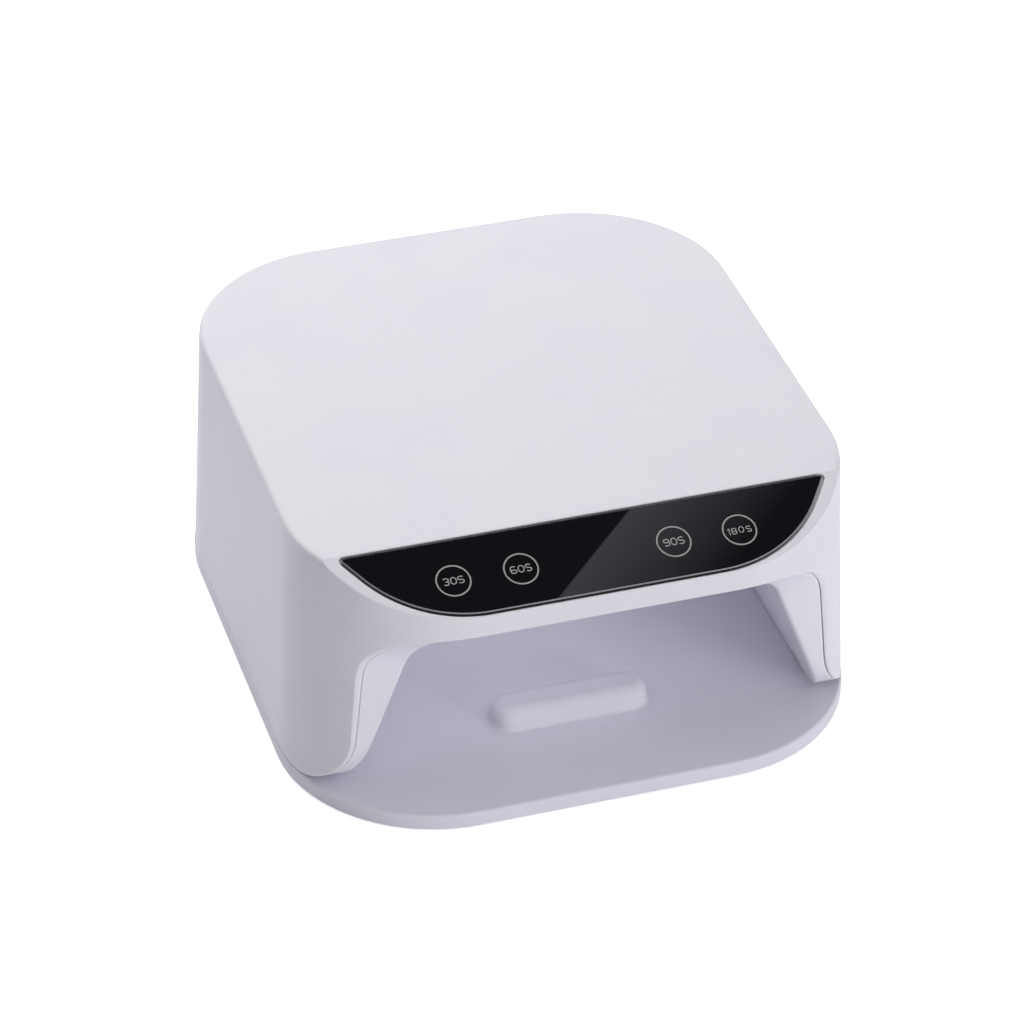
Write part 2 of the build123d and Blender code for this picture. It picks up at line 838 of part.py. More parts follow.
def make_beads(panel):
    """Lamp beads soldered to the underside of one panel's board."""
    bead = standing_box(0, 0, cap_flange + bead_gap, bead_size, bead_size, bead_thickness)
    bead = chamfer(bead.edges().group_by(Axis.Z)[0], bead_chamfer)
    return joined([panel["plane"] * (Pos(x, y) * bead) for x, y in panel["beads"]])


def make_panel_board(panel):
    """Metal-cored board of one panel."""
    outline = RectangleRounded(panel["width"], panel["height"], standoff_radius)
    board = extrude(Pos(0, 0, panel_rise) * outline, board_thickness)
    for x, y in panel["screws"]:
        board = board - upright(x, y, panel_rise, small_screw_radius + screw_clear, board_thickness)
    return panel["plane"] * board


def make_panel_screws():
    """Small screws of all four lamp panels."""
    screw = Rot(180, 0, 0) * pan_screw(small_screw_radius, panel_top, small_head_radius, small_head_height)
    screws = []
    for panel in all_panels:
        for x, y in panel["screws"]:
            screws.append(panel["plane"] * (Pos(x, y, panel_top) * screw))
    return joined(screws)


# Touch lens and what lies under it
def make_touch_lens():
    """Black lens that fills the facet."""
    lens = extrude(lens_face(0, lens_tip_radius), -lens_thickness)
    lens = Pos(0, 0, lens_proud) * lens
    lens = chamfer(lens.edges().group_by(Axis.Z)[-1], lens_chamfer)
    return on_facet(lens)


def make_lens_gasket():
    """Adhesive frame between the lens and the pocket's floor."""
    sheet = lens_face(-gasket_inset, lens_tip_radius) - window_face(gasket_window_gap)
    return on_facet(extrude(sheet, -gasket_thickness), lens_thickness - lens_proud)


def oval(height):
    """Oval ring as wide as a figure, standing on the base line."""
    half = figure_width / 2
    ring = Ellipse(half, height / 2) - Ellipse(half - figure_line, height / 2 - figure_line)
    return Pos(0, height / 2) * ring


def bow(row, start, end):
    """Lower (row 0) or upper (row 1) bow of a figure, from the start angle to the end angle."""
    ring = oval(bow_height)
    if end - start < 360:
        corners = [(0, 0)]
        steps = 6
        for step in range(steps + 1):
            turn = math.radians(end + (start + 360 - end) * step / steps)
            corners.append((figure_height * math.cos(turn), figure_height * math.sin(turn)))
        ring = ring - Pos(0, bow_height / 2) * make_face(Polyline(*corners, close=True))
    return Pos(0, row * (figure_height - bow_height)) * ring


def stem(side):
    """Upright stroke at the left or right of a figure, between the middles of the two bows."""
    x = side * (figure_width - figure_line) / 2
    return Pos(x, figure_height / 2) * Rectangle(figure_line, figure_height - bow_height)


def draw_one():
    """Upright stroke with a short slanted flag."""
    right = (figure_line + figure_flag) / 2
    left = right - figure_line
    tip = left - figure_flag
    drop = figure_height - figure_flag
    outline = [
        (right, 0),
        (right, figure_height),
        (left, figure_height),
        (tip, drop),
        (tip, drop - figure_line),
        (left, figure_height - figure_line),
        (left, 0),
    ]
    return make_face(Polyline(*outline, close=True))


def draw_figure(figure):
    """Strokes of one figure that stands on the base line, with its middle at the origin."""
    if figure == "0":
        return oval(figure_height)
    if figure == "1":
        return draw_one()
    if figure == "3":
        return bow(0, -155, 100) + bow(1, -100, 155)
    if figure == "6":
        return bow(0, 0, 360) + bow(1, 30, 180) + stem(-1)
    if figure == "8":
        return bow(0, 0, 360) + bow(1, 0, 360)
    if figure == "9":
        return bow(1, 0, 360) + bow(0, -150, 0) + stem(1)
    return bow(1, 25, 280) + bow(0, -155, 100)


def figure_reach(figure):
    """Width of one figure; the one is narrower than the others."""
    return figure_line + figure_flag if figure == "1" else figure_width


def make_key_marks():
    """Rings and timer figures printed on the lens; a long name is drawn smaller."""
    marks = []
    for key, name in zip(key_x, key_names):
        shapes = [Circle(ring_radius) - Circle(ring_radius - ring_line)]
        length = sum(figure_reach(figure) for figure in name) + figure_space * (len(name) - 1)
        share = min(1.0, name_width / length)
        left = -length / 2
        for figure in name:
            middle = left + figure_reach(figure) / 2
            shapes.append((Pos(middle, -figure_height / 2) * draw_figure(figure)).scale(share))
            left = left + figure_reach(figure) + figure_space
        for shape in shapes:
            marks.append(on_facet(extrude(Pos(key, -key_row) * shape, print_thickness), -lens_proud))
    return joined(marks)


def make_touch_board():
    """Touch board held under the lens."""
    face = Pos(0, -key_row) * RectangleRounded(2 * touch_board_half, touch_board_height, touch_boss_radius)
    board = extrude(face, -touch_board_thickness)
    hole_radius = small_screw_radius + screw_clear
    for x, y in touch_screw_points():
        board = board - upright(x, y, -touch_board_thickness, hole_radius, touch_board_thickness)
    return on_facet(board, touch_board_top)


def make_touch_board_screws():
    """Screws of the touch board."""
    length = touch_board_thickness + touch_boss
    screw = pan_screw(small_screw_radius, length, small_head_radius, small_head_height)
    depth = touch_board_top + touch_board_thickness
    return joined([on_facet(Pos(x, y) * screw, depth) for x, y in touch_screw_points()])


def make_touch_pads():
    """Soft contact pads between the touch board and the lens, one under each ring."""
    pads = [upright(x, -key_row, 0, pad_radius, touch_gap - pad_gap) for x in key_x]
    return joined([on_facet(pad, touch_board_top) for pad in pads])


def make_digit_display():
    """Timer display that shows through the lens when it is lit."""
    height = touch_gap - display_gap
    block = standing_box(0, -key_row, 0, display_width, display_height, height)
    for place in (-1, 0, 1):
        x = place * digit_pitch
        low = height - digit_depth
        block = block - standing_box(x, -key_row, low, digit_width, digit_height, digit_depth)
    return on_facet(block, touch_board_top)


# Main board
def main_screw_points():
    """Screw places of the main board in X and Z."""
    x = main_board_half - main_screw_side_margin
    rows = (main_board_low + main_screw_margin, main_board_high - main_screw_margin)
    return [(side * x, z) for side in sides for z in rows]


def main_standoffs():
    """Posts on the tunnel's back wall that carry the main board."""
    posts = Part()
    start = tunnel_rear_face - weld
    length = main_board_y - start
    for x, z in main_screw_points():
        hole = along_y(x, start + main_screw_bottom, z, small_screw_radius + thread_clear, length)
        posts = posts + (along_y(x, start, z, standoff_radius, length) - hole)
    return posts


def make_main_board():
    """Driver board behind the tunnel."""
    height = main_board_high - main_board_low
    middle = Pos(0, main_board_y + board_thickness / 2, main_board_low + height / 2)
    board = middle * Box(2 * main_board_half, board_thickness, height)
    board = fillet(board.edges().filter_by(Axis.Y), standoff_radius)
    for x, z in main_screw_points():
        board = board - along_y(x, main_board_y, z, small_screw_radius + screw_clear, board_thickness)
    return board


def make_main_board_screws():
    """Screws of the main board."""
    screw = pan_screw(small_screw_radius, main_screw_length, small_head_radius, small_head_height)
    return joined([Pos(x, main_board_back, z) * Rot(90, 0, 0) * screw for x, z in main_screw_points()])


def on_main_board(x, z, width, depth, height):
    """Block on the rear face of the main board."""
    return Pos(x, main_board_back + depth / 2, z) * Box(width, depth, height)


def make_capacitors():
    """Round smoothing capacitors."""
    cans = []
    for x in capacitor_x:
        can = along_y(x, main_board_back, main_board_low + power_row_up, capacitor_radius, capacitor_length)
        cans.append(fillet(can.edges().sort_by(Axis.Y)[-1], capacitor_edge))
    return joined(cans)


def make_inductors():
    """Square coils of the lamp drivers."""
    blocks = []
    for x in coil_x:
        block = on_main_board(x, main_board_low + power_row_up, coil_size, coil_thickness, coil_size)
        blocks.append(chamfer(block.edges().filter_by(Axis.Y), coil_chamfer))
    return joined(blocks)


def make_driver_chips():
    """Driver and timer chips."""
    z = main_board_low + chip_row_up
    return joined([on_main_board(x, z, chip_size, chip_thickness, chip_size) for x in chip_x])


def make_board_connectors():
    """White wire connectors on the main board."""
    low_z = main_board_low + connector_height / 2
    high_z = main_board_high - connector_height / 2
    side_z = main_board_low + side_wire_up
    side_x = main_board_half - connector_height / 2
    blocks = []
    for x in low_connector_x:
        blocks.append(on_main_board(x, low_z, connector_width, connector_depth, connector_height))
    for x in (ribbon_x, ceiling_wire_x):
        blocks.append(on_main_board(x, high_z, connector_width, connector_depth, connector_height))
    for side in sides:
        x = side * side_x
        blocks.append(on_main_board(x, side_z, connector_height, connector_depth, connector_width))
    return joined(blocks)


# Power inlet
def make_inlet_body():
    """Round socket for the power plug, with its outer flange."""
    neck = inlet_cylinder(inlet_back_y, inlet_face_y, inlet_neck_radius)
    flange = inlet_cylinder(inlet_face_y, inlet_mouth_y, inlet_flange_radius)
    flange = chamfer(flange.edges().sort_by(Axis.Y)[-1], inlet_flange_chamfer)
    bore = inlet_cylinder(inlet_mouth_y - inlet_bore_depth, inlet_mouth_y, inlet_bore_radius)
    pin_hole = inlet_cylinder(inlet_back_y, inlet_mouth_y, inlet_pin_radius)
    return neck + flange - bore - pin_hole


def make_inlet_pin():
    """Middle pin of the socket, with its solder tag."""
    pin = inlet_cylinder(inlet_back_y, inlet_mouth_y - inlet_pin_short, inlet_pin_radius)
    pin = fillet(pin.edges().sort_by(Axis.Y)[-1], inlet_pin_nose)
    tag = Box(inlet_tag_width, inlet_tag_length, inlet_tag_thickness)
    return pin + Pos(0, inlet_back_y - inlet_tag_length / 2, inlet_z) * tag


def make_inlet_contact():
    """Outer contact at the back of the socket."""
    plate = Box(inlet_tag_width, inlet_tag_thickness, inlet_tag_height)
    tag = Box(inlet_tag_width, inlet_tag_length, inlet_tag_thickness)
    plate_y = inlet_back_y - inlet_tag_thickness / 2
    tag_y = inlet_back_y - inlet_tag_length / 2
    tag_z = inlet_z - inlet_contact_drop - inlet_tag_height / 2 + inlet_tag_thickness / 2
    return Pos(0, plate_y, inlet_z - inlet_contact_drop) * plate + Pos(0, tag_y, tag_z) * tag


def make_inlet_nut():
    """Hexagonal nut that clamps the socket to the rear wall."""
    high_y = inlet_face_y - inlet_pad_depth
    low_y = high_y - inlet_nut_height
    hexagon = extrude(RegularPolygon(inlet_nut_flats / math.sqrt(3), 6), inlet_nut_height)
    nut = Pos(0, low_y, inlet_z) * Rot(-90, 0, 0) * hexagon
    return nut - inlet_cylinder(low_y, high_y, inlet_neck_radius + thread_clear)


# Hand sensors
def sensor_plane(side):
    """Outer surface of the side wall at a sensor."""
    return side_plane(side, sensor_y, sensor_up)


def sensor_slot(grow):
    """Oval outline of a sensor window."""
    return SlotOverall(sensor_slot_length + 2 * grow, sensor_slot_width + 2 * grow)


def sensor_opening(side):
    """Oval hole through the side wall."""
    outline = Pos(0, 0, -liner_wall - past) * sensor_slot(sensor_clear)
    return sensor_plane(side) * extrude(outline, liner_wall + 2 * past)


def sensor_standoffs(side):
    """Posts that carry a sensor board."""
    posts = Part()
    hole_low = sensor_board_high - sensor_screw_length - thread_clear
    for x in (-sensor_screw_reach, sensor_screw_reach):
        post = upright(x, 0, -weld, sensor_post_radius, sensor_board_gap + weld)
        hole = upright(x, 0, hole_low, small_screw_radius + thread_clear, sensor_board_gap)
        posts = posts + sensor_plane(side) * (post - hole)
    return posts


def make_sensor_windows():
    """Dark oval windows in the side walls."""
    windows = []
    for side in sides:
        reach = liner_wall + sensor_window_proud
        plug = extrude(Pos(0, 0, -reach) * sensor_slot(0), reach)
        plug = chamfer(plug.edges().group_by(Axis.Z)[0], sensor_window_chamfer)
        rim = extrude(sensor_slot(sensor_rim), sensor_rim_height)
        windows.append(sensor_plane(side) * (plug + rim))
    return joined(windows)


def make_sensor_boards():
    """Small boards that carry the sender and the receiver."""
    boards = []
    outline = RectangleRounded(sensor_board_length, sensor_board_width, small_screw_radius)
    for side in sides:
        board = extrude(Pos(0, 0, sensor_board_gap) * outline, touch_board_thickness)
        for x in (-sensor_screw_reach, sensor_screw_reach):
            hole_radius = small_screw_radius + screw_clear
            board = board - upright(x, 0, sensor_board_gap, hole_radius, touch_board_thickness)
        boards.append(sensor_plane(side) * board)
    return joined(boards)


def make_sensor_diode(side):
    """Round-nosed light sender or receiver behind a window."""
    low = sensor_rim_height + sensor_diode_gap
    body = upright(0, 0, low, sensor_diode_radius, sensor_board_gap - low)
    body = fillet(body.edges().sort_by(Axis.Z)[0], sensor_diode_nose)
    collar_low = sensor_board_gap - sensor_rim_height
    collar = upright(0, 0, collar_low, sensor_diode_radius + sensor_collar, sensor_rim_height)
    return sensor_plane(side) * (body + collar)


def make_sensor_screws():
    """Screws of the sensor boards."""
    screw = pan_screw(small_screw_radius, sensor_screw_length, small_head_radius, small_head_height)
    screws = []
    for side in sides:
        for x in (-sensor_screw_reach, sensor_screw_reach):
            screws.append(sensor_plane(side) * (Pos(x, 0, sensor_board_high) * Rot(180, 0, 0) * screw))
    return joined(screws)


# Screws and magnets of the housing
def make_liner_screws():
    """Screws from below that join the liner to the shell."""
    screw = pan_screw(screw_radius, liner_screw_length, screw_head_radius, screw_head_height)
    seat = housing_z + cup_seat
    return joined([Pos(x, y, seat) * screw for x, y in both_sides(liner_screw_points)])


def make_housing_magnets():
    """Disc magnets in the liner's foot flange."""
    low = housing_z + magnet_skin
    return joined([upright(x, y, low, magnet_radius, magnet_thickness) for x, y in both_sides(magnet_points)])


# Wires inside the housing
def wire(points):
    """Round wire bundle along straight runs, with a ball at each bend."""
    bundle = Part()
    for start, end in zip(points, points[1:]):
        run = Vector(end) - Vector(start)
        bundle = bundle + Plane(origin=start, z_dir=run) * upright(0, 0, 0, wire_radius, run.length)
    for bend in points[1:-1]:
        bundle = bundle + Pos(*bend) * Sphere(wire_radius)
    return bundle


def make_inlet_wire():
    """From the power inlet up to the main board."""
    end_y = inlet_back_y - inlet_tag_length
    return wire([(0, wire_y, main_board_low), (0, wire_y, inlet_z), (0, end_y, inlet_z)])


def side_socket(panel, side):
    """Wire socket on a side panel's board."""
    x = side * side_socket_reach
    return panel["plane"] * standing_box(x, 0, panel_top, connector_depth, connector_width, socket_height)


def make_panel_sockets():
    """Wire sockets on the ceiling and side panels."""
    socket = standing_box(
        ceiling_wire_x, ceiling_socket_reach, panel_top, connector_width, connector_depth, socket_height
    )
    return joined([top_panel["plane"] * socket, side_socket(left_panel, -1), side_socket(right_panel, 1)])


def make_ceiling_wire():
    """From the ceiling panel back and down to the main board."""
    x = ceiling_wire_x
    z = tunnel_top + liner_wall + wire_height
    start_y = panel_middle_y + ceiling_socket_reach + connector_depth / 2
    return wire([(x, start_y, z), (x, wire_y, z), (x, wire_y, main_board_high)])


def make_side_wires():
    """From each side panel back and inwards to the main board."""
    wires = []
    bend_y = tunnel_rear_face + rear_wire_clear
    level = main_board_low + side_wire_up
    for side in sides:
        place = side_plane(side, panel_middle_y + side_socket_reach, side_panel_up)
        start = place.from_local_coords((side * connector_depth / 2, 0, wire_height))
        x = side * (main_board_half + side_wire_clear - wire_radius * 2)
        points = [
            (start.X, start.Y, start.Z),
            (start.X, bend_y, start.Z),
            (x, bend_y, start.Z),
            (x, wire_y, start.Z),
            (x, wire_y, level),
            (side * main_board_half, wire_y, level),
        ]
        wires.append(wire(points))
    return joined(wires)


def make_sensor_wires():
    """From each sensor board along the foot of the tunnel to the main board."""
    wires = []
    bend_y = tunnel_rear_face + sensor_wire_clear
    reach = sensor_board_length / 2
    depth = sensor_board_gap + touch_board_thickness / 2
    for side in sides:
        tip = sensor_plane(side).from_local_coords((side * reach, 0, depth))
        x = side * (half_width - sensor_wire_from_side)
        end_x = side * low_connector_x[2]
        near_y = tip.Y + 2 * wire_radius
        points = [
            (tip.X, tip.Y, tip.Z),
            (tip.X, near_y, tip.Z),
            (x, near_y, tip.Z),
            (x, bend_y, tip.Z),
            (end_x, bend_y, tip.Z),
            (end_x, wire_y, tip.Z),
            (end_x, wire_y, main_board_low),
        ]
        wires.append(wire(points))
    return joined(wires)


def make_touch_ribbon():
    """Flat ribbon from the touch board back over the ceiling panel to the main board."""
    depth = touch_board_top + touch_board_thickness + ribbon_thickness
    start = facet_plane.from_local_coords((0, touch_board_height / 4 - key_row, -depth))
    level = start.Z - ribbon_drop
    outline = [
        (start.Y, start.Z),
        (start.Y + ribbon_drop, level),
        (wire_y, level),
        (wire_y, main_board_high),
    ]
    band = trace(FilletPolyline(*outline, radius=ribbon_thickness), ribbon_thickness)
    return Pos(ribbon_x, 0, 0) * extrude(Plane.YZ * band, ribbon_width / 2, both=True)


def make_back_header():
    """Pin header that joins the back panel to the main board."""
    low = tunnel_rear_face + panel_top
    middle = Pos(0, (low + main_board_y) / 2, back_panel_z)
    return middle * Box(header_width, main_board_y - low, header_height)


# Every piece with the name of its node
all_parts = [
    ("base_tray", make_base_tray()),
    ("base_cover", make_base_cover()),
    ("base_screws", make_base_screws()),
    ("rubber_feet", make_rubber_feet()),
    ("tray_magnets", make_tray_magnets()),
    ("outer_shell", make_outer_shell()),
    ("cavity_liner", make_cavity_liner()),
    ("liner_screws", make_liner_screws()),
    ("housing_magnets", make_housing_magnets()),
    ("touch_lens", make_touch_lens()),
    ("lens_gasket", make_lens_gasket()),
    ("key_marks", make_key_marks()),
    ("touch_board", make_touch_board()),
    ("touch_board_screws", make_touch_board_screws()),
    ("touch_pads", make_touch_pads()),
    ("digit_display", make_digit_display()),
    ("main_board", make_main_board()),
    ("main_board_screws", make_main_board_screws()),
    ("capacitors", make_capacitors()),
    ("inductors", make_inductors()),
    ("driver_chips", make_driver_chips()),
    ("board_connectors", make_board_connectors()),
    ("inlet_body", make_inlet_body()),
    ("inlet_pin", make_inlet_pin()),
    ("inlet_contact", make_inlet_contact()),
    ("inlet_nut", make_inlet_nut()),
    ("lamp_board_top", make_panel_board(top_panel)),
    ("lamp_board_left", make_panel_board(left_panel)),
    ("lamp_board_right", make_panel_board(right_panel)),
    ("lamp_board_back", make_panel_board(back_panel)),
    ("lamp_board_screws", make_panel_screws()),
    ("lamp_beads_top", make_beads(top_panel)),
    ("lamp_beads_left", make_beads(left_panel)),
    ("lamp_beads_right", make_beads(right_panel)),
    ("lamp_beads_back", make_beads(back_panel)),
    ("bead_caps_top", make_caps(top_panel)),
    ("bead_caps_left", make_caps(left_panel)),
    ("bead_caps_right", make_caps(right_panel)),
    ("bead_caps_back", make_caps(back_panel)),
    ("sensor_windows", make_sensor_windows()),
    ("sensor_boards", make_sensor_boards()),
    ("sensor_sender", make_sensor_diode(1)),
    ("sensor_receiver", make_sensor_diode(-1)),
    ("sensor_screws", make_sensor_screws()),
    ("panel_sockets", make_panel_sockets()),
    ("back_header", make_back_header()),
    ("inlet_wire", make_inlet_wire()),
    ("ceiling_wire", make_ceiling_wire()),
    ("side_wires", make_side_wires()),
    ("sensor_wires", make_sensor_wires()),
    ("touch_ribbon", make_touch_ribbon()),
]

os.makedirs("parts", exist_ok=True)
for node, shape in all_parts:
    export_step(shape, f"parts/{node}.step")
    print(node, len(shape.solids()), round(shape.volume))
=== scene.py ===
# %% [markdown]
# # Dressing a nail lamp
# A nail lamp is a hollow white housing that stands on a loose base tray. A hand goes in at the
# front, and lamps in the ceiling and the walls cure the varnish. The shapes come ready made and in
# place, in metres, with the front towards -Y. This lesson gives every piece its finish, sets the
# table and the studio lights, and places the camera.

# %% Load the lamp
import math

import bmesh
import bpy
from mathutils import Matrix, Vector

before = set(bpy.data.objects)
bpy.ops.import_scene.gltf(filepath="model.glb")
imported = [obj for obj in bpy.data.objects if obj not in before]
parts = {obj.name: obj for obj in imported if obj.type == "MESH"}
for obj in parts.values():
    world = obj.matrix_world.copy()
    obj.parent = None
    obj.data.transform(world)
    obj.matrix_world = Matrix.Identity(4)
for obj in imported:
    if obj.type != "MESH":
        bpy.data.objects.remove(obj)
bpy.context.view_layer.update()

# %% [markdown]
# ## The camera first
# The picture is taken from the front left and from above, with a long lens, so the sides of the
# lamp stay nearly parallel. Placing the camera with three directions (right, up and back) is more
# exact than turning it by hand: a camera looks along its own -Z, so the back direction is its +Z.
# It leans by half a degree, as a hand-set tripod does.

# %% Place the camera
aim = Vector((0.002889, 0.008763, 0.039489))
around = math.radians(-17.551)
above = math.radians(35.424)
lean = math.radians(0.473)
distance = 1.50862
film_width_mm = 36.0
lens_length_mm = 143.8
farthest_seen = 50.0
reach = math.cos(above)
back = Vector((math.sin(around) * reach, -math.cos(around) * reach, math.sin(above)))
level_right = (-back).cross(Vector((0, 0, 1))).normalized()
level_up = level_right.cross(-back)
right = level_right * math.cos(lean) + level_up * math.sin(lean)
up = level_up * math.cos(lean) - level_right * math.sin(lean)
camera_data = bpy.data.cameras.new("camera")
camera_data.sensor_width = film_width_mm
camera_data.lens = lens_length_mm
camera_data.clip_end = farthest_seen
camera = bpy.data.objects.new("camera", camera_data)
directions = Matrix((right, up, back)).transposed().to_4x4()
camera.matrix_world = Matrix.Translation(aim + back * distance) @ directions
bpy.context.scene.collection.objects.link(camera)
bpy.context.scene.camera = camera
bpy.context.scene.view_settings.view_transform = "Standard"
print("camera at", tuple(round(v, 4) for v in camera.matrix_world.translation))

# %% [markdown]
# ## Writing finishes as sums
# A finish is easier to read as a sum than as a web of boxes. The class below stands for one value
# that changes over a surface. Adding, subtracting, multiplying or dividing such values adds the
# matching Math node, also when a plain number comes first, so `1 - mask` works. Colours never go
# through a Math node, because it turns them grey: they are mixed with a Mix node instead.

# %% A value on a surface
class Value:
    def __init__(self, finish, socket):
        self.finish = finish
        self.socket = socket

    def sum(self, operation, first, second, clamp=False):
        settings = {"operation": operation, "use_clamp": clamp}
        return self.finish.node("ShaderNodeMath", settings, {0: first, 1: second})

    def __add__(self, other):
        return self.sum("ADD", self, other)

    def __radd__(self, other):
        return self.sum("ADD", other, self)

    def __sub__(self, other):
        return self.sum("SUBTRACT", self, other)

    def __rsub__(self, other):
        return self.sum("SUBTRACT", other, self)

    def __mul__(self, other):
        return self.sum("MULTIPLY", self, other)

    def __rmul__(self, other):
        return self.sum("MULTIPLY", other, self)

    def __truediv__(self, other):
        return self.sum("DIVIDE", self, other)

    def __rtruediv__(self, other):
        return self.sum("DIVIDE", other, self)

    def limited(self):
        return self.sum("ADD", self, 0.0, clamp=True)

    def above(self, level, softness):
        return ((self - (level - softness)) / (2 * softness)).limited()


# %% [markdown]
# ## Colours as light
# Colours are chosen as they look on a screen, from 0 to 255. The renderer counts light instead, so
# every colour is first turned into the share of the light that it reflects.

# %% From screen colour to light
def paint(red, green, blue):
    """The light that a surface reflects when it looks like this screen colour."""
    steps = [v / 255 for v in (red, green, blue)]
    return tuple(v / 12.92 if v <= 0.04045 else ((v + 0.055) / 1.055) ** 2.4 for v in steps) + (1.0,)


pure_white = paint(255, 255, 255)
print("a pale grey as light:", tuple(round(v, 3) for v in paint(226, 226, 236)))

# %% [markdown]
# ## A finish
# A finish holds one material. Its `node` method adds any node: settings come first, then the
# values or links of its sockets. The method returns one output of the node, ready for a sum.
# `surface` ends the finish with the shader. Numbers that are the same all over a surface are
# written straight on the shader's sockets. The other methods are the small patterns that most
# finishes share: soft clouds, cells, streaks, rounded edges and bumps. A Mix node has sockets for
# numbers, vectors and colours under the same names, so its colour sockets are picked by number. The
# air round the lamp is built in the same way, so the class can also make a world.

# %% The class for finishes
mix_mask, mix_first, mix_second, mix_result = 0, 6, 7, 2


class Finish:
    def __init__(self, name, family=bpy.data.materials):
        self.result = family.new(name)
        self.result.use_nodes = True
        self.tree = self.result.node_tree
        self.tree.nodes.clear()

    def node(self, kind, settings=None, sockets=None, output=0):
        made = self.tree.nodes.new(kind)
        for key, setting in (settings or {}).items():
            setattr(made, key, setting)
        for key, value in (sockets or {}).items():
            if isinstance(value, Value):
                self.tree.links.new(value.socket, made.inputs[key])
            else:
                made.inputs[key].default_value = value
        return Value(self, made.outputs[output])

    def place(self):
        """Where a point of the surface lies, in metres."""
        return self.node("ShaderNodeTexCoord", output="Object")

    def cloud(self, size, detail=2.0):
        """Soft random patches about `size` metres across, from 0 to 1."""
        sockets = {"Vector": self.place(), "Scale": 1 / size, "Detail": detail}
        return self.node("ShaderNodeTexNoise", None, sockets)

    def cells(self, size):
        """Rounded cells about `size` metres across, dark in the middle of each."""
        sockets = {"Vector": self.place(), "Scale": 1 / size}
        return self.node("ShaderNodeTexVoronoi", None, sockets)

    def streaks(self, per_direction, scale):
        """Soft patches squeezed by an amount per direction, so they run along the least squeezed."""
        sockets = {0: self.place(), 1: per_direction}
        squeezed = self.node("ShaderNodeVectorMath", {"operation": "MULTIPLY"}, sockets)
        return self.node("ShaderNodeTexNoise", None, {"Vector": squeezed, "Scale": scale})

    def along(self, letter, scale=1.0):
        """One direction of the place on the surface, in metres, as a value."""
        split = self.node("ShaderNodeSeparateXYZ", None, {0: self.place()}, letter)
        return split * scale

    def mix(self, mask, first, second):
        """The first colour where the mask is 0, the second where it is 1."""
        sockets = {mix_mask: mask, mix_first: first, mix_second: second}
        return self.node("ShaderNodeMix", {"data_type": "RGBA"}, sockets, mix_result)

    def soft_edge(self, radius):
        """The direction of the surface, rounded over at the edges."""
        return self.node("ShaderNodeBevel", {"samples": 8}, {"Radius": radius})

    def edge(self, radius, strength):
        """1 along sharp edges, where hands and cloths rub, and 0 on flat faces; on the white plastics
        it also places a painted highlight.
        """
        return (self.turned_from(self.soft_edge(radius)) * strength).limited()

    def turned_from(self, direction):
        """0 where the surface faces a direction, 1 where it stands square to it."""
        own = self.node("ShaderNodeNewGeometry", output="Normal")
        sockets = {0: direction, 1: own}
        return 1 - self.node("ShaderNodeVectorMath", {"operation": "DOT_PRODUCT"}, sockets, "Value")

    def bump(self, height, strength, depth, under=None):
        """A relief of `depth` metres, on top of another one where `under` is given."""
        sockets = {"Height": height, "Strength": strength, "Distance": depth}
        if under is not None:
            sockets["Normal"] = under
        return self.node("ShaderNodeBump", None, sockets)

    def background_rays(self):
        """1 for what the camera, a gloss or a clear piece sees, and 0 for light on dull surfaces."""
        camera_ray = self.node("ShaderNodeLightPath", output="Is Camera Ray")
        glossy_ray = self.node("ShaderNodeLightPath", output="Is Glossy Ray")
        clear_ray = self.node("ShaderNodeLightPath", output="Is Transmission Ray")
        return (camera_ray + glossy_ray + clear_ray).limited()

    def surface(self, colour, roughness, normal, **more):
        sockets = {"Base Color": colour, "Roughness": roughness, "Normal": normal}
        for key, value in more.items():
            sockets[key.replace("_", " ")] = value
        return self.finished(self.node("ShaderNodeBsdfPrincipled", None, sockets))

    def finished(self, shader, output="ShaderNodeOutputMaterial"):
        out = self.tree.nodes.new(output)
        self.tree.links.new(shader.socket, out.inputs["Surface"])
        return self.result


# %% [markdown]
# ## Putting a finish on
# Every piece comes with a plain material. `dress` takes that off and puts the finish on. It also
# keeps a list, so the last cell can tell whether a piece was forgotten.

# %% Dress a piece
dressed = {}


def dress(material, *names):
    """Give pieces of the lamp a material in place of their plain one."""
    for name in names:
        slots = parts[name].data.materials
        slots.clear()
        slots.append(material)
        dressed[name] = material.name
    print(material.name, "->", ", ".join(names))


print("pieces to dress:", len(parts) - len(dressed))

# %% [markdown]
# ## White moulded plastic
# The housing, the liner and the base tray are injection moulded. Such plastic isn't one flat
# white: the resin clouds slightly as it flows, the mould leaves a very fine spark-eroded grain,
# and edges polish with handling. The finish has the clouds, of a few centimetres, and the grain,
# of about half a millimetre, at their real sizes. Along each edge runs a line just under a
# millimetre wide that is glossier, and whiter from a painted highlight that stands in for the
# light the edges catch. There the light also rounds over the edge, as on real plastic.

# %% The white plastics
edge_width = 0.0009
edge_contrast = 9.0
edge_highlight_white = paint(253, 253, 254)
edge_polish = 0.12


def moulded(name, colour, cloudy, roughness, grain_size, grain_depth, cloud_size):
    finish = Finish(name)
    clouds = finish.cloud(cloud_size, 3.0)
    grain = finish.cloud(grain_size, 1.0)
    edge_band = finish.edge(edge_width, edge_contrast)
    body = finish.mix(clouds.above(0.5, 0.22), paint(*colour), paint(*cloudy))
    # Painted highlight: the edge band turns the colour near white, standing in for light caught by the
    # edges.
    shade = finish.mix(edge_band, body, edge_highlight_white)
    gloss = roughness + (grain - 0.5) * 0.10 - edge_band * edge_polish
    relief = finish.bump(grain, 0.35, grain_depth, finish.soft_edge(edge_width))
    coat = {"Coat_Weight": edge_band, "Coat_Roughness": 0.15}
    return finish.surface(shade, gloss.limited(), relief, IOR=1.5, **coat)


